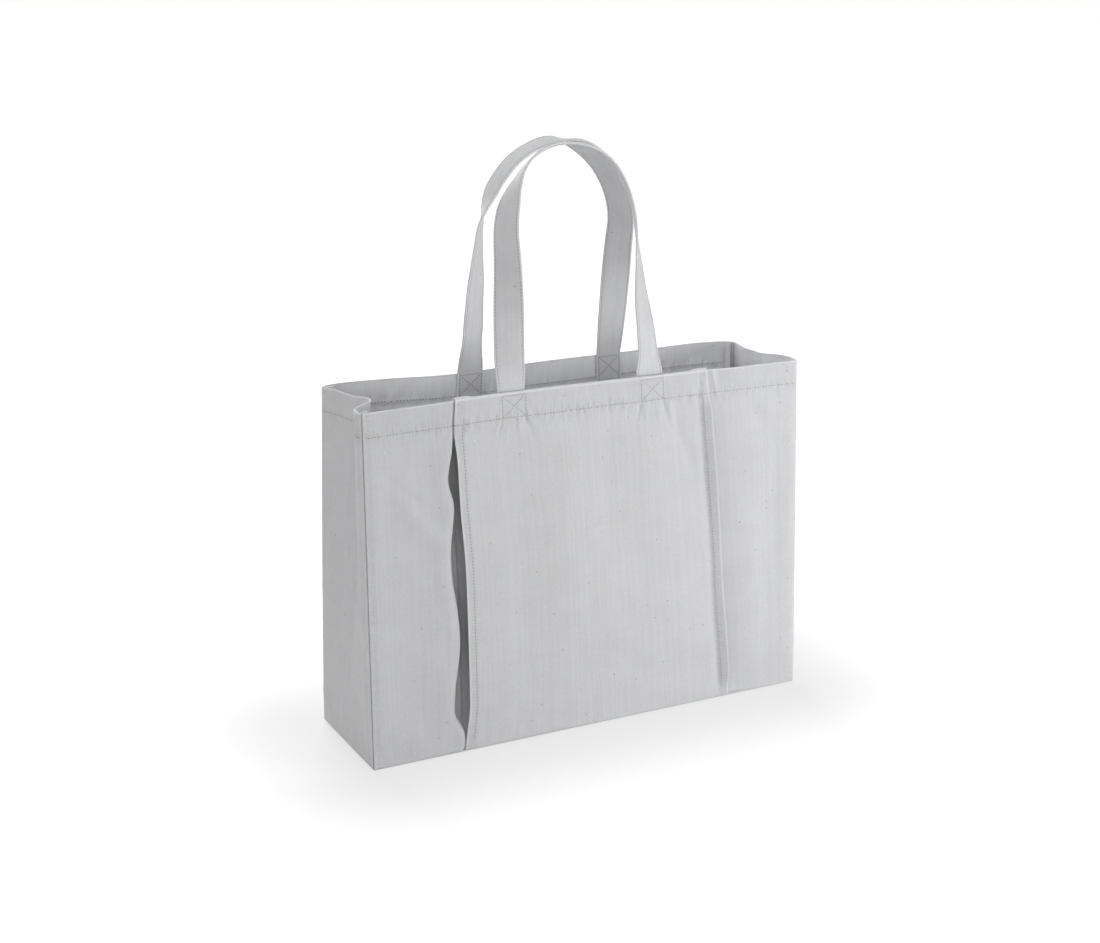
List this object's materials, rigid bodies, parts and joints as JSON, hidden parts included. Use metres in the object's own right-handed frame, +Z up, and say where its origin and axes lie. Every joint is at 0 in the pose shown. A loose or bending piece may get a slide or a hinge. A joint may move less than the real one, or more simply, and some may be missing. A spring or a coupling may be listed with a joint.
{
  "type": "yoga mat bag",
  "caption": "Open-topped gusseted canvas bag with two long strap handles and an open-ended sleeve across its front for a rolled exercise mat.",
  "frame": {"origin": "centre of the flat base, on the surface that the bag stands on", "axes": "+Z up through the open rim, -Y out of the front wall with the mat sleeve, +X to the right along the front as the viewer sees it"},
  "size_m": [0.5027, 0.1452, 0.5967],
  "materials": {
    "wall_canvas": "plain woven unbleached cotton canvas, matt",
    "gusset_canvas": "plain woven unbleached cotton canvas, matt",
    "sleeve_canvas": "plain woven unbleached cotton canvas, matt",
    "strap_canvas": "folded and stitched cotton canvas strap, matt",
    "binding_tape": "plain woven cotton binding tape, matt"
  },
  "bodies": {
    "bag": {"front_panel": "wall_canvas", "back_panel": "wall_canvas", "left_gusset": "gusset_canvas", "right_gusset": "gusset_canvas", "base_panel": "wall_canvas", "mat_sleeve": "sleeve_canvas", "front_left_strap_end": "strap_canvas", "front_right_strap_end": "strap_canvas", "back_left_strap_end": "strap_canvas", "back_right_strap_end": "strap_canvas", "front_left_binding": "binding_tape", "front_right_binding": "binding_tape", "back_right_binding": "binding_tape", "back_left_binding": "binding_tape", "front_base_binding": "binding_tape", "right_base_binding": "binding_tape", "back_base_binding": "binding_tape", "left_base_binding": "binding_tape"},
    "front_loop": {"front_handle": "strap_canvas"},
    "back_loop": {"back_handle": "strap_canvas"}
  },
  "joints": [
    {"name": "front_handle_fall", "type": "hinge", "parent": "bag", "child": "front_loop", "pos_m": [-0.0122, -0.05293, 0.35905], "axis": [0.9999, 0.0118, 0], "range_deg": [0, 165]},
    {"name": "back_handle_fall", "type": "hinge", "parent": "bag", "child": "back_loop", "pos_m": [-0.00092, 0.06055, 0.35905], "axis": [-0.9954, -0.0956, 0], "range_deg": [0, 165]}
  ]
}
